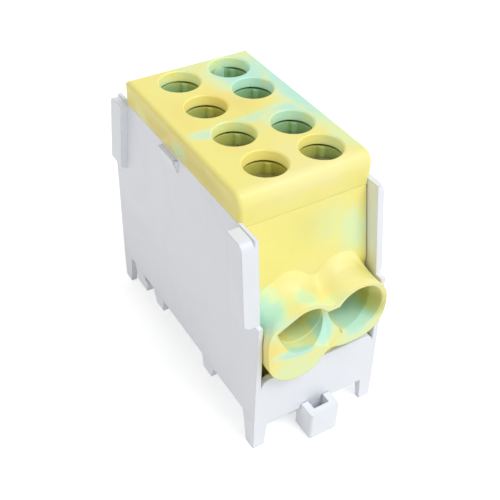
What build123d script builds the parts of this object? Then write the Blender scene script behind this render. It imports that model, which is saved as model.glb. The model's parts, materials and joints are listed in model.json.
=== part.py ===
from build123d import *
import os

# Rail-mounted power distribution block: a snap-on carrier with a sprung rail latch, an
# insulating housing with a pair of cable spouts at each end, a metal terminal block with
# clamp screws inside it, and a cover with a screwdriver hole over every screw.
#
# Frame: the origin is the middle of the rail seat. +Z points up and away from the rail,
# the rail runs along X, and the end with the rail latch faces -Y. All sizes are in mm.

# Top-hat rail that the carrier snaps on to
rail_width = 35.0
rail_height = 7.5
rail_channel = 25.0
rail_sheet = 1.0

# Carrier
carrier_length = 56.4
carrier_inner_width = 24.3
carrier_base_width = 26.8
carrier_top_width = 25.7
carrier_height = 41.2
floor_thickness = 1.5
end_wall = 1.2
end_wall_height = 10.4
end_wall_drop = 1.9
end_wall_corner = 2.0
leg_clearance = 0.1
leg_width = 2.8
leg_depth = 3.9
leg_taper = 1.2
block_rib_spacing = 14.0
block_rib_thickness = 1.4

# Guide ears on the carrier's upper corners: how far each reaches out past the side plate,
# how far its end edge stands back at the top, how far that edge leans out, and its lower end
left_front_ear = (2.4, 2.2, 1.3, 23.8)
left_back_ear = (1.5, 3.6, 3.0, 25.0)
right_front_ear = (0.6, 4.2, 2.6, 23.8)
right_back_ear = (0.6, 3.6, 3.0, 25.0)
ear_depth = 4.6
ear_top = 41.0
ear_ramp = 0.9
ear_round = 1.3

# Rail feet under the carrier
foot_width = 4.2
foot_depth = 4.6
foot_drop = 3.1
foot_draft = 1.0
foot_clearance = 0.35
hook_depth = 4.9
hook_drop = 3.9
hook_bite = 1.4
rail_clearance = 0.2

# Catch that holds the cover
catch_y = 2.7
catch_length = 6.2
catch_reach = 0.8
catch_height = 2.8
catch_drop = 0.6
tongue_y = 1.3
tongue_length = 3.4
tongue_rise = 1.0
tongue_thickness = 0.3
tongue_clearance = 0.1
catch_slit = 0.4
catch_slit_depth = 0.5
catch_slit_height = 2.6

# Rail latch
latch_width = 6.3
latch_front = 31.9
latch_top = 1.2
latch_drop = 7.1
latch_loop_top = -0.6
latch_loop_depth = 5.2
latch_wall = 1.5
latch_slide_thickness = 2.2
latch_slide_end = 15.9
latch_clearance = 0.15
latch_guide = 1.3
latch_guide_lip = 1.0
latch_guide_length = 8.4
latch_travel = 2.0

# Housing
housing_clearance = 0.2
housing_top = 40.1
housing_front = 21.2
housing_back = 20.2
housing_lean = 2.4
housing_lean_height = 14.0

# Terminal block
block_width = 21.6
block_length = 39.0
block_bottom = 14.0
block_top = 30.0
block_clearance = 0.1
entry_height = 21.0
left_entry_x = -4.4
right_entry_x = 5.8
bore_radius = 4.1
wire_stop = 2.0

# Cable spouts: each end has a wide one on the left and a narrower one on the right
spout_length = 30.0
left_spout_top = 26.6
left_spout_bottom = 10.1
left_spout_edge = -11.9
left_spout_shoulder = 23.6
right_spout_top = 26.3
right_spout_bottom = 13.3
right_spout_edge = 12.4
waist_x = 0.8
waist_top = 24.4
waist_bottom = 14.2
blend_rise = 2.0
blend_drop = 1.2
blend_share = 0.53
passage_clearance = 0.4
left_lead_in_x = -10.2
left_lead_in_height = 22.9
left_lead_in_radius = 0.4
lead_in_flare = 0.2
right_lead_in_x = 6.3
right_lead_in_radius = 4.95
right_lead_in_taper = 21.0
lead_in_depth = 2.4
web_setback = 2.8

# Clamp screws: one row over each cable bore
left_row_x = -4.4
right_row_x = 6.2
left_row_y = (-15.0, -5.0, 5.0, 15.0)
right_row_y = (-15.4, -6.6, 6.6, 15.4)
screw_radius = 2.9
thread_clearance = 0.05
screw_head_radius = 3.4
screw_head_height = 3.0
screw_head_top = 42.0
screw_slot_width = 1.1
screw_slot_depth = 1.4
screw_tip_clearance = 0.2
screw_turn = 37.0
screw_well_radius = 3.95
well_rib_radius = 0.8
well_rib_reach = 0.42
well_rib_turn = 58.0
screw_hole_radius = 3.85

# Cover
cover_top = 46.2
cover_front = 21.2
cover_back = 20.2
cover_plate = 2.1
cover_wall = 1.0
cover_front_round = 2.4
cover_edge_round = 0.9
hole_break = 0.2

os.makedirs("parts", exist_ok=True)

half_length = carrier_length / 2
half_inner = carrier_inner_width / 2
half_base = carrier_base_width / 2
half_top = carrier_top_width / 2
leg_bottom = -(rail_height + leg_clearance)
screw_places = [(left_row_x, y) for y in left_row_y] + [(right_row_x, y) for y in right_row_y]
ear_places = (
    (-1, -1, left_front_ear),
    (-1, 1, left_back_ear),
    (1, -1, right_front_ear),
    (1, 1, right_back_ear),
)


def upright(y):
    """Plane facing -Y at depth y, whose sketch axes are the object's X and Z."""
    return Plane(origin=(0, y, 0), x_dir=(1, 0, 0), z_dir=(0, -1, 0))


def side(x):
    """Plane facing +X at distance x, whose sketch axes are the object's Y and Z."""
    return Plane(origin=(x, 0, 0), x_dir=(0, 1, 0), z_dir=(1, 0, 0))


def ear_profile(end, setback, lean, bottom):
    """Side view of a guide ear at one end; its end edge leans out towards the bottom."""
    edge = half_length - setback
    return [
        (end * edge, ear_top),
        (end * (edge + lean), bottom),
        (end * (edge + lean - ear_depth), bottom),
        (end * (edge - ear_depth), ear_top),
    ]


# Carrier

with BuildPart() as carrier:
    # Solid outer form: the outer faces draw in towards the top
    with BuildSketch(upright(half_length)):
        with BuildLine():
            Polyline(
                (-half_base, -end_wall_drop),
                (half_base, -end_wall_drop),
                (half_top, carrier_height),
                (-half_top, carrier_height),
                close=True,
            )
        make_face()
    extrude(amount=carrier_length)
    # Room for the housing between the side plates, open above the end walls
    with BuildSketch(Plane.XY.offset(floor_thickness)):
        Rectangle(carrier_inner_width, carrier_length - 2 * end_wall)
    extrude(amount=carrier_height, mode=Mode.SUBTRACT)
    with BuildSketch(Plane.XY.offset(end_wall_height)):
        Rectangle(carrier_inner_width, carrier_length + 2)
    extrude(amount=carrier_height, mode=Mode.SUBTRACT)
    # Rounded relief in the upper corners of the end walls, beside the plates
    for flip in (-1, 1):
        corner = flip * (half_inner - end_wall_corner / 2)
        with BuildSketch(upright(half_length)):
            with Locations((corner, end_wall_height - end_wall_corner / 2)):
                Rectangle(end_wall_corner, end_wall_corner)
            with Locations((flip * (half_inner - end_wall_corner), end_wall_height - end_wall_corner)):
                Circle(end_wall_corner, mode=Mode.SUBTRACT)
        extrude(amount=carrier_length, mode=Mode.SUBTRACT)
    # The side plates stand back above the ears' lower ends
    for flip, end, (_, setback, lean, bottom) in ear_places:
        with BuildSketch(side(flip * (half_base + 1))):
            with BuildLine():
                profile = ear_profile(end, setback, lean, bottom)
                Polyline(
                    profile[0],
                    profile[1],
                    (end * (half_length + 1), bottom),
                    (end * (half_length + 1), carrier_height + 1),
                    (profile[0][0], carrier_height + 1),
                    close=True,
                )
            make_face()
        extrude(amount=-flip * half_base, mode=Mode.SUBTRACT)
    # Underside of the floor: only the end walls reach below the rail seat
    with BuildSketch(Plane.XY.offset(-end_wall_drop)):
        Rectangle(carrier_base_width + 2, carrier_length - 2 * end_wall)
    extrude(amount=end_wall_drop, mode=Mode.SUBTRACT)
    # Guide ears, rounded where the cover slides down between them
    for flip, end, (reach, setback, lean, bottom) in ear_places:
        with BuildPart(mode=Mode.PRIVATE) as ear:
            with BuildSketch(side(half_inner)):
                with BuildLine():
                    Polyline(*ear_profile(end, setback, lean, bottom), close=True)
                make_face()
            extrude(amount=half_top - half_inner + reach)
            top_edges = ear.edges().filter_by(Axis.X).group_by(Axis.Z)[-1]
            fillet(top_edges.sort_by(Axis.Y)[0 if end < 0 else -1], ear_round)
            outer_face = ear.faces().sort_by(Axis.X)[-1]
            chamfer(outer_face.edges().sort_by(Axis.Z)[0], ear_ramp)
        add(ear.part if flip == 1 else mirror(ear.part, about=Plane.YZ, mode=Mode.PRIVATE))
    # Corner legs: a side web and an end web, both tapering down
    for flip in (-1, 1):
        for end in (-1, 1):
            with BuildSketch(side(flip * half_base)):
                with BuildLine():
                    Polyline(
                        (end * half_length, 0),
                        (end * half_length, leg_bottom),
                        (end * (half_length - leg_depth + leg_taper), leg_bottom),
                        (end * (half_length - leg_depth), 0),
                        close=True,
                    )
                make_face()
            extrude(amount=-flip * (half_base - half_inner))
            with BuildSketch(upright(end * half_length)):
                with BuildLine():
                    Polyline(
                        (flip * half_base, 0),
                        (flip * half_base, leg_bottom),
                        (flip * (half_base - leg_width + 0.4), leg_bottom),
                        (flip * (half_base - leg_width), -end_wall_drop),
                        (flip * (half_base - leg_width), 0),
                        close=True,
                    )
                make_face()
            extrude(amount=end * end_wall)
    # Ribs that carry the terminal block
    with BuildSketch(Plane.XY.offset(floor_thickness)):
        with GridLocations(block_rib_spacing, 1, 2, 1):
            Rectangle(block_rib_thickness, block_length - 4)
    extrude(amount=block_bottom - floor_thickness)
    # Feet that drop into the rail's channel, and the fixed hooks behind its rear rim
    foot_outer = rail_channel / 2 + rail_sheet - foot_clearance
    hook_inner = rail_width / 2 + rail_clearance
    for flip in (-1, 1):
        with BuildSketch(side(flip * half_base)):
            for end in (-1, 1):
                with BuildLine():
                    Polyline(
                        (end * foot_outer, 0),
                        (end * (foot_outer - foot_draft), -foot_drop),
                        (end * (foot_outer - foot_depth + 0.4), -foot_drop),
                        (end * (foot_outer - foot_depth), 0),
                        close=True,
                    )
                make_face()
            with BuildLine():
                Polyline(
                    (hook_inner, 0),
                    (hook_inner, -(rail_sheet + rail_clearance)),
                    (hook_inner - hook_bite, -(rail_sheet + rail_clearance)),
                    (hook_inner - hook_bite + 0.7, -hook_drop),
                    (hook_inner + hook_depth - 1.2, -hook_drop),
                    (hook_inner + hook_depth, 0),
                    close=True,
                )
            make_face()
        extrude(amount=-flip * foot_width)
    # Guides that carry the rail latch under the floor
    guide_inner = latch_width / 2 + latch_clearance
    guide_bottom = -(latch_top + latch_slide_thickness + latch_clearance + latch_guide)
    guide_front = -(latch_front - latch_loop_depth - 2 * latch_clearance)
    for flip in (-1, 1):
        with BuildSketch(upright(guide_front)):
            with BuildLine():
                Polyline(
                    (flip * guide_inner, 0),
                    (flip * guide_inner, guide_bottom + latch_guide),
                    (flip * (guide_inner - latch_guide_lip), guide_bottom + latch_guide),
                    (flip * (guide_inner - latch_guide_lip), guide_bottom),
                    (flip * (guide_inner + latch_guide), guide_bottom),
                    (flip * (guide_inner + latch_guide), 0),
                    close=True,
                )
            make_face()
        extrude(amount=-latch_guide_length)
    # Catches and tongues that hold the cover
    for flip in (-1, 1):
        ledge = carrier_height - catch_drop
        with BuildPart(mode=Mode.PRIVATE) as catch:
            with BuildSketch(upright(catch_y + catch_length / 2)):
                with BuildLine():
                    Polyline(
                        (half_top - 0.3, ledge),
                        (half_top + catch_reach, ledge),
                        (half_top + catch_reach, ledge - 0.5),
                        (half_top, ledge - catch_height),
                        (half_top - 0.3, ledge - catch_height),
                        close=True,
                    )
                make_face()
            extrude(amount=catch_length)
        with BuildPart(mode=Mode.PRIVATE) as tongue:
            with BuildSketch(Plane.XY.offset(carrier_height - 0.5)):
                with Locations((half_inner + tongue_thickness / 2, tongue_y)):
                    Rectangle(tongue_thickness, tongue_length)
            extrude(amount=tongue_rise + 0.5)
        for piece in (catch.part, tongue.part):
            add(piece if flip == 1 else mirror(piece, about=Plane.YZ, mode=Mode.PRIVATE))
        # Slit at the catch's front end
        with BuildSketch(side(flip * (half_top + catch_reach))):
            with Locations((catch_y - catch_length / 2 + catch_slit, ledge - catch_slit_height / 2)):
                Rectangle(catch_slit, catch_slit_height)
        extrude(amount=-flip * (catch_reach + catch_slit_depth), mode=Mode.SUBTRACT)
carrier.part.label = "carrier"
export_step(carrier.part, "parts/carrier.step")

# Rail latch

loop_back = -(latch_front - latch_loop_depth)
slide_crest = -(end_wall_drop + latch_clearance)
with BuildPart() as rail_latch:
    # Pull loop in front of the end wall
    with BuildSketch(Plane.XY.offset(-latch_drop)):
        with Locations((0, -latch_front)):
            RectangleRounded(
                latch_width, latch_loop_depth, 0.5, align=(Align.CENTER, Align.MIN)
            )
    extrude(amount=latch_drop + latch_loop_top)
    with BuildSketch(Plane.XY.offset(-latch_drop)):
        with Locations((0, -latch_front + latch_wall)):
            Rectangle(
                latch_width - 2 * latch_wall,
                latch_loop_depth - 2 * latch_wall,
                align=(Align.CENTER, Align.MIN),
            )
    extrude(amount=latch_drop, mode=Mode.SUBTRACT)
    # Its upper part ends in front of the end wall, and its lower part goes on under it
    with BuildSketch(Plane.XY.offset(slide_crest)):
        with Locations((0, -half_length - latch_clearance)):
            Rectangle(latch_width, latch_loop_depth, align=(Align.CENTER, Align.MIN))
    extrude(amount=latch_drop, mode=Mode.SUBTRACT)
    # Slide that runs in the guides and ends in the nose that grips the rail's front rim
    slide_top = -latch_top
    raise_start = half_length - end_wall - latch_travel - 2 * latch_clearance
    with BuildSketch(side(-latch_width / 2)):
        with BuildLine():
            Polyline(
                (loop_back, slide_crest),
                (-raise_start, slide_crest),
                (-raise_start + 0.3, slide_top),
                (-latch_slide_end, slide_top),
                (-latch_slide_end - 1.6, slide_top - latch_slide_thickness),
                (loop_back, slide_top - latch_slide_thickness),
                close=True,
            )
        make_face()
    extrude(amount=latch_width)
rail_latch.part.label = "rail_latch"
export_step(rail_latch.part, "parts/rail_latch.step")

# Housing

housing_half = half_inner - housing_clearance
cover_inner_half = half_top - cover_wall
cover_inner_length = cover_front + cover_back - 2 * cover_wall
pocket_width = block_width + 2 * block_clearance
pocket_length = block_length + 2 * block_clearance


def spout_outline(y, blend):
    """Smooth outline of a pair of spouts at depth y.

    The blend runs from 0 at the mouth to 1 at the end face, where the outline is swollen.
    """
    left_middle = left_entry_x
    right_middle = right_entry_x
    left_foot = left_spout_bottom - blend * blend_drop
    right_foot = right_spout_bottom - blend * blend_drop
    rise = blend * blend_rise
    right_edge = right_spout_edge - blend * (right_spout_edge - housing_half)
    with BuildSketch(upright(y)) as section:
        with BuildLine():
            Spline(
                (left_spout_edge, left_foot + 6.0),
                (left_spout_edge + 1.1, left_foot + 2.8),
                (left_middle - 4.0, left_foot + 0.7),
                (left_middle - 0.9, left_foot),
                (left_middle + 2.2, left_foot + 0.9),
                (waist_x - 0.9, waist_bottom - 0.9),
                (waist_x + 0.6, waist_bottom - 0.3),
                (right_middle - 2.6, right_foot + 0.2),
                (right_middle + 0.4, right_foot),
                (right_middle + 3.5, right_foot + 0.6),
                (right_edge - 0.7, right_foot + 3.0),
                (right_edge, entry_height - 1.2),
                (right_edge - 0.7, entry_height + 2.5 + rise / 2),
                (right_middle + 3.4, right_spout_top - 0.7 + rise),
                (right_middle + 0.4, right_spout_top + rise),
                (right_middle - 2.6, right_spout_top - 0.7 + rise),
                (waist_x, waist_top + rise),
                (left_middle + 2.7, left_spout_top - 0.9 + rise),
                (left_middle - 0.2, left_spout_top + rise),
                (left_middle - 3.6, left_spout_top - 0.9 + rise),
                (left_spout_edge + 0.8, left_spout_shoulder + 0.4 + rise),
                (left_spout_edge, left_spout_shoulder - 1.2 + rise),
                periodic=True,
            )
        make_face()
    return section.sketch


with BuildPart() as housing:
    # Body: its end faces lean out towards the spouts
    with BuildSketch(side(-housing_half)):
        with BuildLine():
            Polyline(
                (-housing_front, housing_top),
                (-housing_front - housing_lean, housing_top - housing_lean_height),
                (-housing_front - housing_lean, floor_thickness),
                (housing_back + housing_lean, floor_thickness),
                (housing_back + housing_lean, housing_top - housing_lean_height),
                (housing_back, housing_top),
                close=True,
            )
        make_face()
    extrude(amount=2 * housing_half)
    # Paired spouts, with a hollow blend where they swell out of the end face
    for end, face in ((-1, housing_front + housing_lean), (1, housing_back + housing_lean)):
        shoulder = [spout_outline(end * (face - 1.6), 1.5)]
        for share in (0, 0.25, 0.55, 1):
            depth = face + share * blend_share * (spout_length - face)
            shoulder.append(spout_outline(end * depth, (1 - share) ** 2))
        shoulder.append(spout_outline(end * spout_length, 0))
        loft(sections=shoulder[::end])
    # The spouts are trimmed where they pass between the side plates and over the end walls
    for flip in (-1, 1):
        with BuildSketch(side(flip * housing_half)):
            with Locations((0, housing_top / 2)):
                Rectangle(carrier_length + 2 * housing_clearance, housing_top + 2)
        extrude(amount=flip * (spout_length - housing_half), mode=Mode.SUBTRACT)
    with BuildSketch(Plane.XY):
        for end in (-1, 1):
            with Locations((0, end * (half_length - end_wall / 2))):
                Rectangle(carrier_base_width, end_wall + 2 * housing_clearance)
    extrude(amount=end_wall_height + housing_clearance, mode=Mode.SUBTRACT)
    # Room for the terminal block, which goes in from below
    with BuildSketch(Plane.XY):
        Rectangle(pocket_width, pocket_length)
    extrude(amount=block_top, mode=Mode.SUBTRACT)
    # Cable ways: round passages to the block with widened mouths, alike at both ends
    passage = bore_radius + passage_clearance
    mouth = upright(-spout_length)
    with BuildPart(mode=Mode.PRIVATE) as cable_ways:
        with BuildSketch(mouth):
            with Locations((left_entry_x, entry_height), (right_entry_x, entry_height)):
                Circle(passage)
        extrude(amount=-(spout_length - block_length / 2))
        # The left mouth widens towards its outer shoulder, the right one all round
        with BuildSketch(mouth) as wide:
            with BuildLine():
                CenterArc((left_entry_x, entry_height), passage + lead_in_flare, 0, 360)
                CenterArc((left_lead_in_x, left_lead_in_height), left_lead_in_radius, 0, 360)
            make_hull()
        with BuildSketch(upright(lead_in_depth - spout_length)) as narrow:
            with BuildLine():
                CenterArc((left_entry_x, entry_height), passage + lead_in_flare / 2, 0, 360)
                CenterArc((left_entry_x - passage, entry_height), left_lead_in_radius, 0, 360)
            make_hull()
        loft(sections=[wide.sketch, narrow.sketch])
        with BuildSketch(mouth):
            with Locations((right_lead_in_x, entry_height)):
                Circle(right_lead_in_radius)
        extrude(amount=-lead_in_depth, taper=right_lead_in_taper)
        # The web between the passages slopes back from its foot
        foot = waist_bottom + 0.4
        crown = waist_top - 0.9
        with BuildSketch(mouth) as wide:
            with BuildLine():
                Polyline(
                    (waist_x - 3.6, foot + 1.9),
                    (waist_x - 0.2, foot),
                    (waist_x + 2.4, foot + 1.8),
                    (waist_x + 1.2, crown),
                    (waist_x - 1.4, crown),
                    close=True,
                )
            make_face()
        with BuildSketch(upright(web_setback - spout_length)) as narrow:
            with BuildLine():
                Polyline(
                    (waist_x - 1.2, crown - 1.2),
                    (waist_x - 0.2, crown - 1.5),
                    (waist_x + 1.0, crown - 1.2),
                    (waist_x + 1.0, crown - 0.1),
                    (waist_x - 1.2, crown - 0.1),
                    close=True,
                )
            make_face()
        loft(sections=[wide.sketch, narrow.sketch], ruled=True)
        mirror(about=Plane.XZ)
    add(cable_ways.part, mode=Mode.SUBTRACT)
    # Screw wells, each with three guide ribs
    rib_circle = screw_well_radius + well_rib_radius - well_rib_reach
    with BuildSketch(Plane.XY.offset(housing_top)):
        for place in screw_places:
            with Locations(place):
                Circle(screw_well_radius)
                with PolarLocations(rib_circle, 3, start_angle=well_rib_turn):
                    Circle(well_rib_radius, mode=Mode.SUBTRACT)
    extrude(amount=-(housing_top - block_top), mode=Mode.SUBTRACT)
housing.part.label = "housing"
export_step(housing.part, "parts/housing.step")

# Terminal block

with BuildPart() as terminal_block:
    with BuildSketch(Plane.XY.offset(block_bottom)):
        Rectangle(block_width, block_length)
    extrude(amount=block_top - block_bottom)
    chamfer(terminal_block.edges().filter_by(Axis.Y), 0.8)
    # Cable bores, blind so that a wire stop is left in the middle
    for end in (-1, 1):
        with BuildSketch(upright(end * block_length / 2)):
            with Locations((left_entry_x, entry_height), (right_entry_x, entry_height)):
                Circle(bore_radius)
        extrude(amount=end * (block_length - wire_stop) / 2, mode=Mode.SUBTRACT)
    # Screw holes, drilled into the bores
    with BuildSketch(Plane.XY.offset(block_top)):
        with Locations(*screw_places):
            Circle(screw_radius + thread_clearance)
    extrude(amount=-(block_top - entry_height), mode=Mode.SUBTRACT)
terminal_block.part.label = "terminal_block"
export_step(terminal_block.part, "parts/terminal_block.step")

# Clamp screws

screw_names = [f"clamp_screw_left_{i}" for i in range(1, 5)]
screw_names += [f"clamp_screw_right_{i}" for i in range(1, 5)]
screw_tip = entry_height + bore_radius + screw_tip_clearance
head_seat = screw_head_top - screw_head_height
for number, (screw_name, (x, y)) in enumerate(zip(screw_names, screw_places)):
    with BuildPart() as screw:
        # Half section: dog point, shank and a cheese head with a broken upper edge
        with BuildSketch(Plane.XZ):
            with BuildLine():
                Polyline(
                    (0, screw_tip),
                    (screw_radius - 0.6, screw_tip),
                    (screw_radius, screw_tip + 0.6),
                    (screw_radius, head_seat),
                    (screw_head_radius, head_seat),
                    (screw_head_radius, screw_head_top - 0.3),
                    (screw_head_radius - 0.3, screw_head_top),
                    (0, screw_head_top),
                    close=True,
                )
            make_face()
        revolve(axis=Axis.Z)
        with BuildSketch(Plane.XY.offset(screw_head_top)):
            Rectangle(2 * screw_head_radius + 1, screw_slot_width, rotation=screw_turn * number)
        extrude(amount=-screw_slot_depth, mode=Mode.SUBTRACT)
    screw_solid = screw.part.moved(Location((x, y, 0)))
    screw_solid.label = screw_name
    export_step(screw_solid, f"parts/{screw_name}.step")

# Cover

with BuildPart() as top_cover:
    with BuildSketch(side(-half_top)):
        with BuildLine():
            Polyline(
                (-cover_front, housing_top),
                (-cover_front, cover_top),
                (cover_back, cover_top),
                (cover_back, housing_top),
                close=True,
            )
        make_face()
    extrude(amount=2 * half_top)
    top_edges = top_cover.edges().group_by(Axis.Z)[-1]
    fillet(top_edges.sort_by(Axis.Y)[0], cover_front_round)
    fillet(top_cover.faces().sort_by(Axis.Z)[-1].edges().group_by(Axis.Y)[1:], cover_edge_round)
    # Hollow underside
    with BuildSketch(Plane.XY.offset(housing_top)):
        with Locations((0, (cover_back - cover_front) / 2)):
            Rectangle(2 * cover_inner_half, cover_inner_length)
    extrude(amount=cover_top - cover_plate - housing_top, mode=Mode.SUBTRACT)
    # The side skirts end on the carrier's side plates
    for flip in (-1, 1):
        with BuildSketch(side(flip * (housing_half + housing_clearance / 2))):
            with Locations(((cover_back - cover_front) / 2, housing_top)):
                Rectangle(cover_front + cover_back + 2, 2 * (carrier_height - housing_top))
        extrude(amount=flip * 2, mode=Mode.SUBTRACT)
        # Notch inside the skirt for the carrier's tongue
        with BuildSketch(side(flip * (half_inner + tongue_thickness + tongue_clearance))):
            with Locations((tongue_y, carrier_height)):
                Rectangle(tongue_length + 2 * tongue_clearance, 2 * (tongue_rise + tongue_clearance))
        extrude(amount=-flip * cover_wall, mode=Mode.SUBTRACT)
    # Screwdriver holes
    with BuildSketch(Plane.XY.offset(cover_top)):
        with Locations(*screw_places):
            Circle(screw_hole_radius)
    extrude(amount=-cover_plate, mode=Mode.SUBTRACT)
    hole_rims = top_cover.faces().sort_by(Axis.Z)[-1].edges().filter_by(GeomType.CIRCLE)
    chamfer(hole_rims, hole_break)
top_cover.part.label = "top_cover"
export_step(top_cover.part, "parts/top_cover.step")
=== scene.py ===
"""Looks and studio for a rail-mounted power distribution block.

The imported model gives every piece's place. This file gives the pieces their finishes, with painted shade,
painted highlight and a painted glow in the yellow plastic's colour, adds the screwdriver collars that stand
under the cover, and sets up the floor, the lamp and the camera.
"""

import json
import math

import bpy
import numpy as np
from bpy.props import FloatProperty, FloatVectorProperty, IntProperty, PointerProperty
from mathutils import Matrix, Vector


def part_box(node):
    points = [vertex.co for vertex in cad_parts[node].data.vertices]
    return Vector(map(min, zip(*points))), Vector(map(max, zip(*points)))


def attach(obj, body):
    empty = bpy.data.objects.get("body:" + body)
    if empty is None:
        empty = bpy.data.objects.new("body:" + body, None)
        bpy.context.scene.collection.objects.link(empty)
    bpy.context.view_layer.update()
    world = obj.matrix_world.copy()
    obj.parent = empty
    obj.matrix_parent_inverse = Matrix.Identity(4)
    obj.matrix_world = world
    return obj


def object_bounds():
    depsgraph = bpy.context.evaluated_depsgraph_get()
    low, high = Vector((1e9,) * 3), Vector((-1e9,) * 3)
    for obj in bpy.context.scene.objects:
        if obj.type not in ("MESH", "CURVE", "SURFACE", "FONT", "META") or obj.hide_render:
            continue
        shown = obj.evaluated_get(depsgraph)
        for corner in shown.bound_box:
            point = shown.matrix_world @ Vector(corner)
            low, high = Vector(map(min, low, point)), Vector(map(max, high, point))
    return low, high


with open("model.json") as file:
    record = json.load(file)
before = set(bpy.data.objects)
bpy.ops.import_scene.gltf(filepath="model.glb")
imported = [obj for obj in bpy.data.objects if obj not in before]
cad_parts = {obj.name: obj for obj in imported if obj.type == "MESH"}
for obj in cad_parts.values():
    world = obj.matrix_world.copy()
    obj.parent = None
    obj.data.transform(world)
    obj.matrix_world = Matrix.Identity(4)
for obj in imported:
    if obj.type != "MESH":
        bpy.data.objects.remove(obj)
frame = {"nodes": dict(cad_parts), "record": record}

bl_info = {
    "name": "Power distribution block",
    "version": (1, 0, 0),
    "blender": (4, 5, 0),
    "location": "View3D > Sidebar > Block",
    "description": "Finishes, screwdriver collars and studio for a rail-mounted power distribution block",
    "category": "Object",
}

MM = 0.001
CAD_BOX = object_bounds()
SCREWS = [part["node"] for part in frame["record"]["subparts"] if part["material_slot"] == "screw_steel"]

# How fine the noises are, each as its number of marks to a metre
GRAIN = 2600.0
SINK_MARKS = 90.0
FLOW_MARKS = 45.0
BORE_MARKS = (4000.0, 300.0, 4000.0)
SCREW_MARKS = (900.0, 900.0, 6000.0)
# How many strays and wisps of green there are to one swirl
STRAYS = 0.55
WISPS = 2.2

PLASTIC_EDGE = 0.25 * MM
PLASTIC_RELIEF = 0.02 * MM
METAL_EDGE = 0.12 * MM
METAL_RELIEF = 0.012 * MM
PLASTIC_IOR = 1.5
SHARP_EDGE = math.radians(35.0)
# Copy of the marbled plastic with painted shade laid over it all over, for the collars down in the wells
PAINTED_SHADE_PLASTIC = "marbled_plastic_painted_shade"

# Where the green colour ran into the yellow plastic: centre and reach of each stream in mm, and
# how much green reached its middle. Up to one half is only lime, above that it turns to mint.
GREEN_STREAMS = (
    ("along the cover's right edge", (13.2, 4.0, 45.5), (5.6, 19.0, 7.0), 0.95),
    ("round the two rear right holes", (7.2, 12.0, 43.0), (7.4, 8.6, 10.0), 1.0),
    ("round the second right hole", (7.4, -4.2, 43.4), (5.6, 5.2, 9.0), 0.85),
    ("tongue between the rows", (1.6, -2.0, 46.0), (5.6, 1.5, 3.5), 0.66),
    ("tongue's thin middle", (-4.5, -2.2, 46.0), (5.0, 1.2, 3.5), 0.32),
    ("beside the second left hole", (-9.6, -3.0, 46.2), (2.8, 1.9, 2.6), 0.66),
    ("over the catch", (-12.9, -0.4, 43.0), (2.4, 3.2, 2.2), 0.5),
    ("in the rear left well", (-4.4, 15.2, 39.6), (8.0, 8.0, 6.2), 1.0),
    ("in the rear right well", (6.2, 15.4, 41.4), (8.0, 8.0, 7.0), 1.0),
    ("in the second left well", (-3.6, -4.6, 42.0), (6.0, 4.6, 7.0), 0.46),
    ("in the front right well", (8.6, -15.0, 40.0), (4.4, 5.4, 7.2), 0.6),
    ("right of the front right hole", (12.4, -14.0, 46.0), (3.4, 6.0, 3.0), 0.36),
    ("upper right of the front", (9.4, -23.0, 32.4), (4.0, 4.0, 5.4), 0.5),
    ("upper front", (5.0, -23.0, 36.0), (7.0, 3.0, 7.0), 0.24),
    ("cover's front right corner", (13.0, -19.6, 41.5), (1.6, 2.4, 2.6), 0.6),
    ("left of the left spout, above", (-10.9, -26.5, 30.2), (2.2, 4.0, 3.0), 0.7),
    ("left of the left spout", (-10.2, -27.0, 24.8), (3.4, 5.0, 4.8), 0.9),
    ("crown of the left spout", (-7.2, -29.2, 23.2), (3.4, 3.4, 2.8), 0.66),
    ("between the humps", (-3.9, -27.8, 26.6), (3.0, 2.6, 2.2), 0.62),
    ("front of the left hump", (-1.8, -27.8, 26.4), (5.0, 2.6, 2.4), 0.34),
    ("lip of the right hump", (1.8, -29.6, 25.0), (5.0, 2.4, 2.6), 0.34),
    ("between the spouts", (0.2, -28.2, 18.2), (3.0, 4.8, 4.0), 1.0),
    ("lip of the left spout", (-6.2, -29.3, 17.0), (5.2, 2.6, 1.9), 0.95),
    ("under the left spout", (-5.6, -30.0, 12.4), (7.0, 3.0, 4.0), 0.42),
    ("under the right spout", (7.0, -30.0, 14.2), (6.0, 3.0, 2.6), 0.5),
    ("floor of the right passage", (6.8, -26.6, 16.8), (4.6, 8.0, 3.8), 1.0),
    ("edge of the left spout's roof", (-3.0, -27.6, 24.4), (3.4, 4.0, 2.4), 0.4),
    ("rear of the left row", (-1.2, 18.6, 46.0), (2.8, 3.4, 3.0), 0.36),
    ("low in the left passage", (-3.8, -26.0, 16.6), (2.6, 3.0, 1.7), 0.46),
    ("over the rear spouts", (3.4, 27.0, 25.6), (4.4, 4.6, 4.0), 0.8),
    ("under the rear left spout", (-6.0, 29.6, 15.4), (6.0, 3.2, 3.4), 0.75),
    ("upper rear", (-6.4, 22.6, 34.6), (4.6, 3.0, 5.4), 0.55),
    ("low on the rear right spout", (9.8, 27.6, 17.6), (3.0, 3.6, 3.4), 0.6),
    ("inside the wells", (0.9, 0.0, 37.0), (12.0, 20.0, 7.0), 0.4),
)
# Warmer clouds in the yellow; the one along the left skirt is painted shade on the side turned away from the
# lamp
AMBER_AND_SHADE_STREAMS = (
    ("between the rear holes", (0.5, 5.5, 46.0), (5.5, 4.6, 3.0), 0.7),
    ("left of the third left hole", (-9.5, 4.0, 46.0), (3.2, 7.0, 3.0), 0.5),
    ("front of the third left hole", (-7.0, -8.5, 46.0), (3.2, 2.6, 2.4), 0.35),
    ("crown of the left hump", (-4.6, -25.4, 27.8), (3.4, 2.6, 2.0), 0.6),
    ("valley between the humps", (2.2, -26.2, 25.8), (3.0, 3.0, 3.0), 0.65),
    ("floor of the left passage", (-6.4, -28.0, 18.4), (2.8, 3.4, 2.2), 0.5),
    ("along the left skirt", (-13.6, -2.0, 43.0), (2.0, 22.0, 3.4), 0.9),
    ("left edge of the left lip", (-11.8, -30.0, 19.4), (1.4, 2.0, 4.8), 0.7),
)
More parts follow.
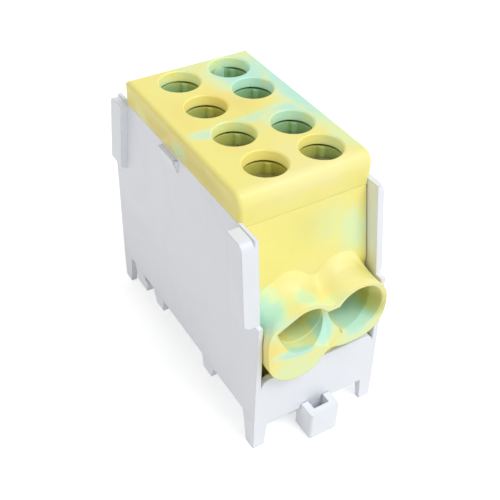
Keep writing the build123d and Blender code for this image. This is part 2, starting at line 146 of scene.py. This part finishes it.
# Paler yellow; over both humps and along the cover's front edge it is painted highlight where those rounded
# tops turn to the lamp
PALE_AND_HIGHLIGHT_STREAMS = (
    ("over both humps", (1.6, -27.0, 27.4), (12.0, 5.4, 4.2), 1.0),
    ("along the cover's front edge", (1.0, -20.4, 45.6), (13.0, 4.0, 3.4), 0.8),
    ("between the front holes", (1.6, -13.6, 46.2), (3.6, 5.0, 2.4), 0.5),
    ("outside of the right spout", (11.2, -28.4, 22.0), (3.0, 4.4, 6.0), 0.8),
)
# Painted shade: a darker tint where shade falls, down in the wells, on the roofs and sides of the passages,
# and along the left skirt turned away from the lamp
PAINTED_SHADE_STREAMS = (
    ("inside the wells", (0.9, 0.0, 36.0), (11.4, 19.5, 8.6), 1.0),
    ("in the front left well", (-4.4, -15.0, 38.0), (4.6, 4.6, 6.4), 1.0),
    ("in the front right well", (6.2, -15.4, 38.0), (4.6, 4.6, 6.4), 1.0),
    ("in the rear left well", (-4.4, 15.0, 38.0), (4.6, 4.6, 6.4), 1.0),
    ("in the rear right well", (6.2, 15.4, 38.0), (4.6, 4.6, 6.4), 1.0),
    ("roof of the right passage", (7.4, -24.4, 22.6), (4.6, 8.0, 3.6), 1.0),
    ("roof of the left passage", (-3.6, -23.0, 23.0), (4.6, 6.5, 3.4), 0.8),
    ("along the left skirt", (-14.2, -3.0, 42.4), (2.2, 20.0, 3.6), 0.45),
    ("right side of the right passage", (10.2, -27.6, 19.8), (2.4, 4.6, 3.0), 0.9),
)


def colour_setting(name, description, *parts):
    """Setting for a colour, as its red, green and blue from 0 to 1."""
    return FloatVectorProperty(name=name, description=description, subtype="COLOR", size=3, default=parts)


def length_setting(name, description, metres):
    """Setting for a length."""
    return FloatProperty(name=name, description=description, unit="LENGTH", default=metres)


def place_setting(name, description, *metres):
    """Setting for a place, as its X, Y and Z."""
    return FloatVectorProperty(
        name=name, description=description, subtype="XYZ", unit="LENGTH", size=3, default=metres
    )


def angle_setting(name, description, degrees):
    """Setting for an angle."""
    return FloatProperty(name=name, description=description, subtype="ANGLE", default=math.radians(degrees))


def share_setting(name, description, value):
    """Setting for a share from 0 to 1."""
    return FloatProperty(
        name=name, description=description, subtype="FACTOR", min=0.0, max=1.0, default=value
    )


class MarbledPlasticSettings(bpy.types.PropertyGroup):
    """Yellow plastic with green streams, used for the housing and the cover."""

    yellow: colour_setting("Yellow", "Main colour", 0.945, 0.85, 0.26)
    amber: colour_setting("Amber", "Warm clouds in the yellow", 0.94, 0.76, 0.22)
    # Also painted highlight over the humps and along the cover's front edge
    pale: colour_setting("Pale", "Paler yellow of thin plastic", 0.945, 0.86, 0.40)
    lime: colour_setting("Lime", "Edge of the green streams", 0.80, 0.905, 0.47)
    mint: colour_setting("Mint", "Middle of the green streams", 0.53, 0.865, 0.71)
    # Tint multiplied into the colour as painted shade in the wells, the passages and on the left skirt
    deep: colour_setting("Deep", "Tint of the thick plastic", 0.56, 0.62, 0.36)
    swirl_size: length_setting("Swirl size", "Distance from one swirl to the next", 9.0 * MM)
    swirl_bend: length_setting("Swirl bend", "How far the swirls bend the streams", 2.4 * MM)
    roughness: share_setting("Roughness", "Roughness of the moulded skin", 0.38)
    shine: share_setting("Shine", "Strength of the plastic's reflections, 0.5 being plain", 0.3)
    # Painted glow: emission on the upper walls of the cover's holes, standing in for light through the
    # plastic; the three settings below place it
    painted_glow: share_setting("Light let through", "Strength of the light in the cover's holes", 0.19)
    hole_radius: length_setting("Hole radius", "Radius within which a hole's wall is lit", 3.95 * MM)
    light_full: length_setting("Full light", "Depth down to which that light is full", 0.8 * MM)
    light_gone: length_setting("No light", "Depth from which none of it is left", 3.6 * MM)


class GreyPlasticSettings(bpy.types.PropertyGroup):
    """Light grey plastic, used for the carrier and the rail latch."""

    main: colour_setting("Grey", "Main colour", 0.85, 0.868, 0.91)
    shade: colour_setting("Shade", "Faint flow marks", 0.82, 0.838, 0.88)
    roughness: share_setting("Roughness", "Roughness of the moulded skin", 0.45)


class GuideSettings(bpy.types.PropertyGroup):
    """Collars between the housing and the cover, which lead a screwdriver to each clamp screw."""

    bore: length_setting("Bore", "Radius inside the collar", 3.95 * MM)
    wall: length_setting("Wall", "Thickness of the collar", 0.35 * MM)
    rim: length_setting("Rim", "Width of the broken edges", 0.08 * MM)
    cover_plate: length_setting("Cover plate", "Thickness of the cover over the collars", 2.1 * MM)
    gap: length_setting("Gap", "Space under the cover plate", 0.45 * MM)
    rib_radius: length_setting("Rib radius", "Radius of a guide rib", 0.8 * MM)
    rib_reach: length_setting("Rib reach", "How far a rib stands into the bore", 0.42 * MM)
    rib_turn: angle_setting("Rib turn", "Angle of the first rib", 52.0)
    ribs: IntProperty(name="Ribs", description="Number of guide ribs in a collar", default=3)
    columns: IntProperty(name="Columns", description="Number of points round a collar", default=216)
    # Share of painted shade laid over the collars' colour, for the shade down in the wells
    painted_shade_share: share_setting("Deep share", "How deep the collars' colour is", 0.85)


class MetalSettings(bpy.types.PropertyGroup):
    """Tinned brass of the block and plated steel of the screws."""

    brass: colour_setting("Tinned brass", "Colour of the block", 0.74, 0.66, 0.50)
    brass_roughness: share_setting("Brass roughness", "Roughness of the block", 0.34)
    steel: colour_setting("Plated steel", "Colour of the screws", 0.60, 0.56, 0.50)
    steel_roughness: share_setting("Steel roughness", "Roughness of the screws", 0.30)
    dull_share: share_setting("Dull share", "Brightness of the dull patches", 0.72)


class StudioSettings(bpy.types.PropertyGroup):
    """Floor, lamp and the camera at the photograph's angle."""

    floor_colour: colour_setting("Floor", "Colour of the floor", 0.93, 0.93, 0.93)
    floor_reach: length_setting("Floor reach", "Distance from the middle to the floor's edge", 3.0)
    floor_glow: FloatProperty(name="Floor glow", description="Light added to the floor as seen", default=0.5)
    sky: FloatProperty(name="Sky", description="Strength of the even light all round", default=0.57)
    sky_colour: colour_setting("Sky colour", "Colour of the even light", 1.0, 0.995, 0.985)
    key: FloatProperty(name="Key lamp", description="Power of the large lamp in watts", default=11.5)
    key_colour: colour_setting("Key colour", "Colour of the large lamp", 0.94, 0.97, 1.0)
    key_size: length_setting("Key size", "Side of the large square lamp", 0.7)
    key_place: place_setting("Key place", "Place of the large lamp", 0.42, -0.72, 1.25)
    lens: FloatProperty(
        name="Lens", description="Focal length, for a sensor 36 mm wide", unit="CAMERA", default=61.16
    )
    azimuth: angle_setting("Azimuth", "Camera's angle round the object", 31.59)
    elevation: angle_setting("Elevation", "Camera's angle over the horizon", 40.51)
    roll: angle_setting("Roll", "Camera's tilt about its line of sight", 1.26)
    camera_place: place_setting("Camera", "Place of the camera", -65.28 * MM, -109.91 * MM, 124.07 * MM)


class BlockSettings(bpy.types.PropertyGroup):
    """All settings of the block."""

    marbled: PointerProperty(type=MarbledPlasticSettings)
    grey: PointerProperty(type=GreyPlasticSettings)
    guide: PointerProperty(type=GuideSettings)
    metal: PointerProperty(type=MetalSettings)
    studio: PointerProperty(type=StudioSettings)


def start_group(name, inputs, outputs):
    """Empty shader node group with the named sockets; gives the tree and its two end nodes."""
    tree = bpy.data.node_groups.new(name, "ShaderNodeTree")
    for socket, kind in inputs:
        tree.interface.new_socket(socket, in_out="INPUT", socket_type=kind)
    for socket, kind in outputs:
        tree.interface.new_socket(socket, in_out="OUTPUT", socket_type=kind)
    return tree, tree.nodes.new("NodeGroupInput"), tree.nodes.new("NodeGroupOutput")


def add_math(tree, operation, first, second, clamp=False):
    """Math node on two values, each a number or a socket; gives its result's socket."""
    node = tree.nodes.new("ShaderNodeMath")
    node.operation = operation
    node.use_clamp = clamp
    for socket, value in zip(node.inputs, (first, second)):
        if isinstance(value, bpy.types.NodeSocket):
            tree.links.new(value, socket)
        else:
            socket.default_value = value
    return node.outputs["Value"]


def add_vector_math(tree, operation, *values):
    """Vector math node on some vectors, each three numbers or a socket; gives the node."""
    node = tree.nodes.new("ShaderNodeVectorMath")
    node.operation = operation
    for socket, value in zip(node.inputs, values):
        if isinstance(value, bpy.types.NodeSocket):
            tree.links.new(value, socket)
        else:
            socket.default_value = value
    return node


def add_noise(tree, place, scale, detail=2.0, roughness=0.5, distortion=0.0):
    """Noise texture at a place; gives the node."""
    node = tree.nodes.new("ShaderNodeTexNoise")
    tree.links.new(place, node.inputs["Vector"])
    node.inputs["Scale"].default_value = scale
    node.inputs["Detail"].default_value = detail
    node.inputs["Roughness"].default_value = roughness
    node.inputs["Distortion"].default_value = distortion
    return node


def add_ramp(tree, value, low, high, start=0.0, end=1.0):
    """Smooth step of a value from low to high; gives its result's socket."""
    node = tree.nodes.new("ShaderNodeMapRange")
    node.interpolation_type = "SMOOTHSTEP"
    tree.links.new(value, node.inputs["Value"])
    for socket, number in (("From Min", low), ("From Max", high), ("To Min", start), ("To Max", end)):
        node.inputs[socket].default_value = number
    return node.outputs["Result"]


def add_mix(tree, factor, first, second, blend="MIX"):
    """Mix of two colours, each a colour or a socket; gives its result's socket."""
    node = tree.nodes.new("ShaderNodeMix")
    node.data_type = "RGBA"
    node.blend_type = blend
    tree.links.new(factor, node.inputs["Factor"])
    for socket, value in ((node.inputs["A"], first), (node.inputs["B"], second)):
        if isinstance(value, bpy.types.NodeSocket):
            tree.links.new(value, socket)
        else:
            socket.default_value = (*value, 1.0)
    return node.outputs["Result"]


def build_stream_group():
    """Mask of one stream: its peak at the centre, falling smoothly to 0 a little past its reach.

    The mask is the peak times a smooth step of the length of (place - centre) / reach.
    """
    tree, start, end = start_group(
        "green_stream",
        (
            ("Place", "NodeSocketVector"),
            ("Centre", "NodeSocketVector"),
            ("Reach", "NodeSocketVector"),
            ("Peak", "NodeSocketFloat"),
        ),
        (("Mask", "NodeSocketFloat"),),
    )
    away = add_vector_math(tree, "SUBTRACT", start.outputs["Place"], start.outputs["Centre"])
    share = add_vector_math(tree, "DIVIDE", away.outputs["Vector"], start.outputs["Reach"])
    length = add_vector_math(tree, "LENGTH", share.outputs["Vector"])
    fall = add_ramp(tree, length.outputs["Value"], low=0.3, high=1.35, start=1.0, end=0.0)
    tree.links.new(add_math(tree, "MULTIPLY", fall, start.outputs["Peak"]), end.inputs["Mask"])
    return tree


def join_streams(tree, stream_tree, place, streams):
    """Joins the masks of several streams by their highest value; gives its socket."""
    joined = 0.0
    for words, centre, reach, peak in streams:
        stream = tree.nodes.new("ShaderNodeGroup")
        stream.node_tree = stream_tree
        stream.label = words
        tree.links.new(place, stream.inputs["Place"])
        stream.inputs["Centre"].default_value = Vector(centre) * MM
        stream.inputs["Reach"].default_value = Vector(reach) * MM
        stream.inputs["Peak"].default_value = peak
        joined = add_math(tree, "MAXIMUM", stream.outputs["Mask"], joined)
    return joined


def build_marbling_group(look):
    """Colour of the marbled plastic: yellow with amber clouds and green streams bent by swirls.

    The place is moved by a noise, the streams' masks are joined by their highest value, finer
    noise breaks their edges up, and the result runs from yellow over lime to mint. Some amber and
    pale streams are painted shade and painted highlight, and painted shade from the shade streams
    and the depth is multiplied over it all last.
    """
    tree, start, end = start_group(
        "marbled_colour",
        (("Place", "NodeSocketVector"), ("Depth", "NodeSocketFloat")),
        (("Colour", "NodeSocketColor"),),
    )
    swirl = add_noise(
        tree, start.outputs["Place"], 1.0 / look.swirl_size, detail=3.0, roughness=0.55, distortion=0.6
    )
    centred = add_vector_math(tree, "SUBTRACT", swirl.outputs["Color"], (0.5, 0.5, 0.5))
    bend = (2.0 * look.swirl_bend,) * 3
    bent = add_vector_math(tree, "MULTIPLY_ADD", centred.outputs["Vector"], bend, start.outputs["Place"])
    place = bent.outputs["Vector"]
    stream_tree = build_stream_group()
    green = join_streams(tree, stream_tree, place, GREEN_STREAMS)
    # The amber mask also carries painted shade along the left skirt, the pale mask painted highlight over
    # the humps and the cover's front edge, and the last mask is painted shade
    amber_and_shade = join_streams(tree, stream_tree, place, AMBER_AND_SHADE_STREAMS)
    thin = join_streams(tree, stream_tree, place, PALE_AND_HIGHLIGHT_STREAMS)
    deep = join_streams(tree, stream_tree, place, PAINTED_SHADE_STREAMS)
    # Faint strays of green all over, as the colours never part fully
    stray = add_noise(tree, place, STRAYS / look.swirl_size, distortion=1.2)
    faint = add_ramp(tree, stray.outputs["Fac"], low=0.58, high=0.85, end=0.4)
    green = add_math(tree, "MAXIMUM", green, faint)
    # Wisps break up the edges of the streams and of the clouds
    wisps = add_noise(tree, place, WISPS / look.swirl_size, detail=3.0, roughness=0.55, distortion=0.8)
    broken = add_math(tree, "MULTIPLY", add_math(tree, "SUBTRACT", wisps.outputs["Fac"], 0.5), 0.6)
    in_green = add_math(tree, "MULTIPLY", broken, add_ramp(tree, green, low=0.02, high=0.4))
    green = add_math(tree, "ADD", green, in_green, clamp=True)
    yellow = add_mix(tree, add_math(tree, "ADD", amber_and_shade, broken, clamp=True), look.yellow, look.amber)
    # Paler yellow, partly painted highlight over the humps and along the cover's front edge
    yellow = add_mix(tree, thin, yellow, look.pale)
    lime = add_mix(tree, add_ramp(tree, green, low=0.0, high=0.5), yellow, look.lime)
    marbled = add_mix(tree, add_ramp(tree, green, low=0.4, high=1.0), lime, look.mint)
    # Painted shade: the shade streams and the depth multiply the colour with the deep tint
    deep = add_math(tree, "MAXIMUM", deep, start.outputs["Depth"])
    tree.links.new(add_mix(tree, deep, marbled, look.deep, "MULTIPLY"), end.inputs["Colour"])
    return tree


def build_hole_light_group(look, axes, top):
    """Mask of a painted glow on the upper walls of the cover's holes, standing in for light that comes
    through the thin plastic.

    The value is 1 on the upper walls of the round holes and falls smoothly to 0 below them.
    The axes are points on the middle lines of the holes, and top is the level of the cover's top.
    """
    tree, start, end = start_group(
        "hole_light", (("Place", "NodeSocketVector"),), (("Light", "NodeSocketFloat"),)
    )
    flat = add_vector_math(tree, "MULTIPLY", start.outputs["Place"], (1.0, 1.0, 0.0)).outputs["Vector"]
    inside = 0.0
    for axis in axes:
        away = add_vector_math(tree, "DISTANCE", flat, (axis[0], axis[1], 0.0)).outputs["Value"]
        inside = add_math(tree, "MAXIMUM", add_math(tree, "LESS_THAN", away, look.hole_radius), inside)
    parts = tree.nodes.new("ShaderNodeSeparateXYZ")
    tree.links.new(start.outputs["Place"], parts.inputs["Vector"])
    level = add_ramp(tree, parts.outputs["Z"], low=top - look.light_gone, high=top - look.light_full)
    tree.links.new(add_math(tree, "MULTIPLY", inside, level), end.inputs["Light"])
    return tree


def build_skin_group():
    """Moulded skin: fine even grain with faint broad sink marks, as a height and a roughness."""
    tree, start, end = start_group(
        "moulded_skin",
        (("Place", "NodeSocketVector"), ("Roughness", "NodeSocketFloat")),
        (("Height", "NodeSocketFloat"), ("Roughness", "NodeSocketFloat"), ("Flow", "NodeSocketFloat")),
    )
    grain = add_noise(tree, start.outputs["Place"], GRAIN, roughness=0.6)
    sink = add_noise(tree, start.outputs["Place"], SINK_MARKS)
    low_grain = add_math(tree, "MULTIPLY", grain.outputs["Fac"], 0.12)
    height = add_math(tree, "ADD", low_grain, sink.outputs["Fac"])
    spread = add_math(tree, "MULTIPLY", add_math(tree, "SUBTRACT", grain.outputs["Fac"], 0.5), 0.25)
    rough = add_math(tree, "ADD", start.outputs["Roughness"], spread, clamp=True)
    flow = add_noise(tree, start.outputs["Place"], FLOW_MARKS, detail=3.0, roughness=0.6, distortion=1.5)
    tree.links.new(height, end.inputs["Height"])
    tree.links.new(rough, end.inputs["Roughness"])
    tree.links.new(add_ramp(tree, flow.outputs["Fac"], low=0.35, high=0.75), end.inputs["Flow"])
    return tree


def build_tool_mark_group():
    """Marks left by a cutting tool, drawn out by a stretched place, as a height, roughness and tone."""
    tree, start, end = start_group(
        "tool_marks",
        (("Place", "NodeSocketVector"), ("Roughness", "NodeSocketFloat")),
        (("Height", "NodeSocketFloat"), ("Roughness", "NodeSocketFloat"), ("Tone", "NodeSocketFloat")),
    )
    lines = add_noise(tree, start.outputs["Place"], scale=1.0, roughness=0.6)
    patches = add_noise(
        tree, start.outputs["Place"], scale=0.12, detail=3.0, roughness=0.6, distortion=0.5
    )
    uneven = add_ramp(tree, lines.outputs["Fac"], low=0.3, high=0.7, start=-0.08, end=0.12)
    rough = add_math(tree, "ADD", start.outputs["Roughness"], uneven)
    tree.links.new(lines.outputs["Fac"], end.inputs["Height"])
    tree.links.new(rough, end.inputs["Roughness"])
    tree.links.new(add_ramp(tree, patches.outputs["Fac"], low=0.35, high=0.7), end.inputs["Tone"])
    return tree


def start_material(name):
    """New material with a Principled shader; gives the material, its tree and the shader."""
    material = bpy.data.materials.new(name)
    material.use_nodes = True
    return material, material.node_tree, material.node_tree.nodes["Principled BSDF"]


def own_place(tree):
    """Place in the object's own coordinates; gives its socket."""
    return tree.nodes.new("ShaderNodeTexCoord").outputs["Object"]


def seen_directly(tree):
    """1 for rays from the camera, off a mirror or through a clear body, else 0; gives its socket."""
    rays = tree.nodes.new("ShaderNodeLightPath")
    seen = add_math(tree, "MAXIMUM", rays.outputs["Is Camera Ray"], rays.outputs["Is Glossy Ray"])
    return add_math(tree, "MAXIMUM", seen, rays.outputs["Is Transmission Ray"])


def round_edges(tree, shader, height, radius, depth):
    """Softens sharp edges by a radius and adds a relief of the given depth, both in metres."""
    edges = tree.nodes.new("ShaderNodeBevel")
    edges.samples = 6
    edges.inputs["Radius"].default_value = radius
    relief = tree.nodes.new("ShaderNodeBump")
    relief.inputs["Strength"].default_value = 1.0
    relief.inputs["Distance"].default_value = depth
    tree.links.new(height, relief.inputs["Height"])
    tree.links.new(edges.outputs["Normal"], relief.inputs["Normal"])
    tree.links.new(relief.outputs["Normal"], shader.inputs["Normal"])


def use_group(tree, group, place, **values):
    """Places a node group in a material and feeds it; gives the node."""
    node = tree.nodes.new("ShaderNodeGroup")
    node.node_tree = group
    tree.links.new(place, node.inputs["Place"])
    for socket, value in values.items():
        node.inputs[socket].default_value = value
    return node


def marbled_plastic(name, look, marbling, skin, hole_light, depth):
    """Yellow plastic with green streams; depth is the share of painted shade laid over its colour all over,
    from 0 to 1.
    """
    material, tree, shader = start_material(name)
    place = own_place(tree)
    colours = use_group(tree, marbling, place, Depth=depth)
    surface = use_group(tree, skin, place, Roughness=look.roughness)
    tree.links.new(colours.outputs["Colour"], shader.inputs["Base Color"])
    tree.links.new(surface.outputs["Roughness"], shader.inputs["Roughness"])
    round_edges(tree, shader, surface.outputs["Height"], PLASTIC_EDGE, PLASTIC_RELIEF)
    # Painted glow: the upper walls of the cover's holes emit their own colour, standing in for light through
    # the plastic
    light = use_group(tree, hole_light, place)
    painted_glow = add_mix(tree, light.outputs["Light"], (0.0, 0.0, 0.0), colours.outputs["Colour"])
    tree.links.new(painted_glow, shader.inputs["Emission Color"])
    shader.inputs["Emission Strength"].default_value = look.painted_glow
    shader.inputs["IOR"].default_value = PLASTIC_IOR
    shader.inputs["Specular IOR Level"].default_value = look.shine
    return material


def grey_plastic(look, skin):
    """Light grey moulded plastic with faint flow marks."""
    material, tree, shader = start_material("grey_plastic")
    surface = use_group(tree, skin, own_place(tree), Roughness=look.roughness)
    tinted = add_mix(tree, surface.outputs["Flow"], look.main, look.shade)
    tree.links.new(tinted, shader.inputs["Base Color"])
    tree.links.new(surface.outputs["Roughness"], shader.inputs["Roughness"])
    round_edges(tree, shader, surface.outputs["Height"], PLASTIC_EDGE, PLASTIC_RELIEF)
    shader.inputs["IOR"].default_value = PLASTIC_IOR
    return material


def cut_metal(name, colour, roughness, dull_share, marks, stretch):
    """Cut and plated metal; stretch is the number of marks to a metre along X, Y and Z."""
    material, tree, shader = start_material(name)
    scaled = tree.nodes.new("ShaderNodeMapping")
    scaled.inputs["Scale"].default_value = stretch
    tree.links.new(own_place(tree), scaled.inputs["Vector"])
    surface = use_group(tree, marks, scaled.outputs["Vector"], Roughness=roughness)
    dull = tuple(dull_share * part for part in colour)
    tree.links.new(add_mix(tree, surface.outputs["Tone"], colour, dull), shader.inputs["Base Color"])
    tree.links.new(surface.outputs["Roughness"], shader.inputs["Roughness"])
    shader.inputs["Metallic"].default_value = 1.0
    round_edges(tree, shader, surface.outputs["Height"], METAL_EDGE, METAL_RELIEF)
    return material


def dress(slot, material):
    """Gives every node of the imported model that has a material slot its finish."""
    for part in frame["record"]["subparts"]:
        if part["material_slot"] == slot:
            for place in frame["nodes"][part["node"]].material_slots:
                place.material = material


def middle_of(node):
    """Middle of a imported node's box."""
    low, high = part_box(node)
    return (low + high) / 2


def wrapped_faces(rows, columns, first):
    """Quads of a grid of points that closes on itself along its rows and its columns."""
    here = np.arange(rows * columns).reshape(rows, columns) + first
    right = np.roll(here, -1, axis=1)
    over = np.roll(here, -1, axis=0)
    across = np.roll(over, -1, axis=1)
    return np.stack([here, right, across, over], axis=-1).reshape(-1, 4)


def collar_points(look, axis, low, high):
    """Grid of points of one collar round an upright axis (x, y), from the low to the high level.

    The inner radius at angle a is the bore or, where the line at angle a meets a rib,
    c cos(d) - sqrt(r^2 - c^2 sin^2(d)). Here r is the rib's radius, c how far its middle is from
    the axis, and d the angle from the line to the rib. The profile runs up the outside, over
    the rim and down the inside, and is swept once round the axis.
    """
    angles = np.linspace(0.0, 2.0 * math.pi, look.columns, endpoint=False)
    middle = look.bore + look.rib_radius - look.rib_reach
    turns = angles[:, None] - look.rib_turn - np.arange(look.ribs) * 2.0 * math.pi / look.ribs
    under = look.rib_radius**2 - (middle * np.sin(turns)) ** 2
    met = (under > 0.0) & (np.cos(turns) > 0.0)
    near = middle * np.cos(turns) - np.sqrt(np.maximum(under, 0.0))
    inner = np.where(met, near, look.bore).min(axis=1)
    outer = np.full_like(inner, look.bore + look.wall)
    radius = np.stack([outer, outer, outer - look.rim, inner + look.rim, inner, inner])
    level = np.array([low, high - look.rim, high, high, high - look.rim, low])
    height = np.broadcast_to(level[:, None], radius.shape)
    return np.stack([axis[0] + radius * np.cos(angles), axis[1] + radius * np.sin(angles), height], axis=-1)


def add_surface(name, points, faces, material):
    """Mesh object at the origin, from arrays of points and quads, shaded smooth but for its edges."""
    mesh = bpy.data.meshes.new(name)
    mesh.from_pydata(points.tolist(), [], faces.tolist())
    mesh.shade_smooth()
    mesh.set_sharp_from_angle(angle=SHARP_EDGE)
    mesh.materials.append(material)
    piece = bpy.data.objects.new(name, mesh)
    bpy.context.scene.collection.objects.link(piece)
    return piece


class BLOCK_OT_finish_plastics(bpy.types.Operator):
    """Give the housing and cover their marbled plastic, and the carrier and latch their grey"""

    bl_idname = "block.finish_plastics"
    bl_label = "Finish the plastics"

    def execute(self, context):
        settings = context.scene.block_settings
        skin = build_skin_group()
        marbling = build_marbling_group(settings.marbled)
        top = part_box("top_cover")[1].z
        hole_light = build_hole_light_group(settings.marbled, [middle_of(node) for node in SCREWS], top)
        shared = (settings.marbled, marbling, skin, hole_light)
        dress("housing_plastic", marbled_plastic("marbled_plastic", *shared, depth=0.0))
        # Copy with painted shade laid over it all over, for the collars down in the wells
        marbled_plastic(PAINTED_SHADE_PLASTIC, *shared, depth=settings.guide.painted_shade_share)
        dress("carrier_plastic", grey_plastic(settings.grey, skin))
        return {"FINISHED"}


class BLOCK_OT_build_guides(bpy.types.Operator):
    """Build the eight screwdriver collars that stand on the housing under the cover"""

    bl_idname = "block.build_guides"
    bl_label = "Build the screwdriver guides"

    def execute(self, context):
        look = context.scene.block_settings.guide
        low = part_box("housing")[1].z
        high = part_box("top_cover")[1].z - look.cover_plate - look.gap
        grids = np.stack([collar_points(look, middle_of(node), low, high) for node in SCREWS])
        collars, rows, columns = grids.shape[:3]
        faces = [wrapped_faces(rows, columns, number * rows * columns) for number in range(collars)]
        # The collars get the copy with painted shade all over
        material = bpy.data.materials[PAINTED_SHADE_PLASTIC]
        guides = add_surface("screw_guides", grids.reshape(-1, 3), np.concatenate(faces), material)
        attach(guides, "base")
        return {"FINISHED"}


class BLOCK_OT_finish_metals(bpy.types.Operator):
    """Give the terminal block its tinned brass and the clamp screws their plated steel"""

    bl_idname = "block.finish_metals"
    bl_label = "Finish the metals"

    def execute(self, context):
        look = context.scene.block_settings.metal
        marks = build_tool_mark_group()
        brass = cut_metal(
            "tinned_brass", look.brass, look.brass_roughness, look.dull_share, marks, BORE_MARKS
        )
        steel = cut_metal(
            "plated_steel", look.steel, look.steel_roughness, look.dull_share, marks, SCREW_MARKS
        )
        dress("conductor", brass)
        dress("screw_steel", steel)
        return {"FINISHED"}


class BLOCK_OT_set_stage(bpy.types.Operator):
    """Set up the white floor, the lamp and the camera at the photograph's angle"""

    bl_idname = "block.set_stage"
    bl_label = "Set the stage"

    def execute(self, context):
        look = context.scene.block_settings.studio
        scene = context.scene
        lowest = CAD_BOX[0].z
        floor = bpy.data.objects.new("floor", bpy.data.meshes.new("floor"))
        reach = look.floor_reach
        signs = ((-1, -1), (1, -1), (1, 1), (-1, 1))
        corners = [(reach * x, reach * y, lowest) for x, y in signs]
        floor.data.from_pydata(corners, [], [(0, 1, 2, 3)])
        floor.data.materials.append(self.white_floor(look))
        scene.collection.objects.link(floor)
        self.light_world(scene, look)
        self.hang_lamp(scene, look)
        self.place_camera(scene, look)
        scene.view_settings.view_transform = "Standard"
        return {"FINISHED"}

    def white_floor(self, look):
        """Floor that the camera sees as white, with the object's shadow on it."""
        material, tree, shader = start_material("white_floor")
        shader.inputs["Base Color"].default_value = (*look.floor_colour, 1.0)
        shader.inputs["Roughness"].default_value = 0.9
        shader.inputs["Specular IOR Level"].default_value = 0.1
        glow = tree.nodes.new("ShaderNodeEmission")
        strength = add_math(tree, "MULTIPLY", seen_directly(tree), look.floor_glow)
        tree.links.new(strength, glow.inputs["Strength"])
        both = tree.nodes.new("ShaderNodeAddShader")
        tree.links.new(shader.outputs[0], both.inputs[0])
        tree.links.new(glow.outputs[0], both.inputs[1])
        tree.links.new(both.outputs[0], tree.nodes["Material Output"].inputs["Surface"])
        return material

    def light_world(self, scene, look):
        """Even white light all round, seen by the camera as plain white."""
        world = bpy.data.worlds.new("studio")
        world.use_nodes = True
        scene.world = world
        tree = world.node_tree
        strength = add_ramp(tree, seen_directly(tree), low=0.0, high=1.0, start=look.sky, end=1.0)
        background = tree.nodes["Background"]
        background.inputs["Color"].default_value = (*look.sky_colour, 1.0)
        tree.links.new(strength, background.inputs["Strength"])

    def hang_lamp(self, scene, look):
        """Large square lamp, turned to the object's middle."""
        lamp = bpy.data.lights.new("key_lamp", "AREA")
        lamp.shape = "SQUARE"
        lamp.size = look.key_size
        lamp.energy = look.key
        lamp.color = look.key_colour
        holder = bpy.data.objects.new("key_lamp", lamp)
        holder.location = look.key_place
        middle = (CAD_BOX[0] + CAD_BOX[1]) / 2
        holder.rotation_euler = (middle - holder.location).to_track_quat("-Z", "Y").to_euler()
        scene.collection.objects.link(holder)

    def place_camera(self, scene, look):
        """Camera turned by roll about its sight line, tipped down by elevation and swung by azimuth."""
        camera = bpy.data.cameras.new("camera")
        camera.sensor_width = 36.0
        camera.lens = look.lens
        camera.clip_start = 0.01
        holder = bpy.data.objects.new("camera", camera)
        turn = Matrix.Rotation(-look.azimuth, 4, "Z")
        turn @= Matrix.Rotation(math.radians(90.0) - look.elevation, 4, "X")
        turn @= Matrix.Rotation(look.roll, 4, "Z")
        holder.matrix_world = Matrix.Translation(look.camera_place) @ turn
        scene.collection.objects.link(holder)
        scene.camera = holder


class BLOCK_PT_sidebar(bpy.types.Panel):
    """The block's settings and steps"""

    bl_label = "Power distribution block"
    bl_idname = "BLOCK_PT_sidebar"
    bl_space_type = "VIEW_3D"
    bl_region_type = "UI"
    bl_category = "Block"

    def draw(self, context):
        settings = context.scene.block_settings
        for group in (settings.marbled, settings.grey, settings.guide, settings.metal, settings.studio):
            box = self.layout.box()
            for name in group.__annotations__:
                box.prop(group, name)
        for step in STEPS:
            self.layout.operator(step.bl_idname)


STEPS = (BLOCK_OT_finish_plastics, BLOCK_OT_build_guides, BLOCK_OT_finish_metals, BLOCK_OT_set_stage)
CLASSES = (
    MarbledPlasticSettings,
    GreyPlasticSettings,
    GuideSettings,
    MetalSettings,
    StudioSettings,
    BlockSettings,
    *STEPS,
    BLOCK_PT_sidebar,
)


def register():
    """Registers the classes and gives the scene its settings."""
    for part in CLASSES:
        bpy.utils.register_class(part)
    bpy.types.Scene.block_settings = PointerProperty(type=BlockSettings)


def unregister():
    """Takes away what register added."""
    del bpy.types.Scene.block_settings
    for part in reversed(CLASSES):
        bpy.utils.unregister_class(part)


def main():
    """Runs every step."""
    register()
    bpy.ops.block.finish_plastics()
    bpy.ops.block.build_guides()
    bpy.ops.block.finish_metals()
    bpy.ops.block.set_stage()
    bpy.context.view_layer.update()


if __name__ == "__main__":
    main()
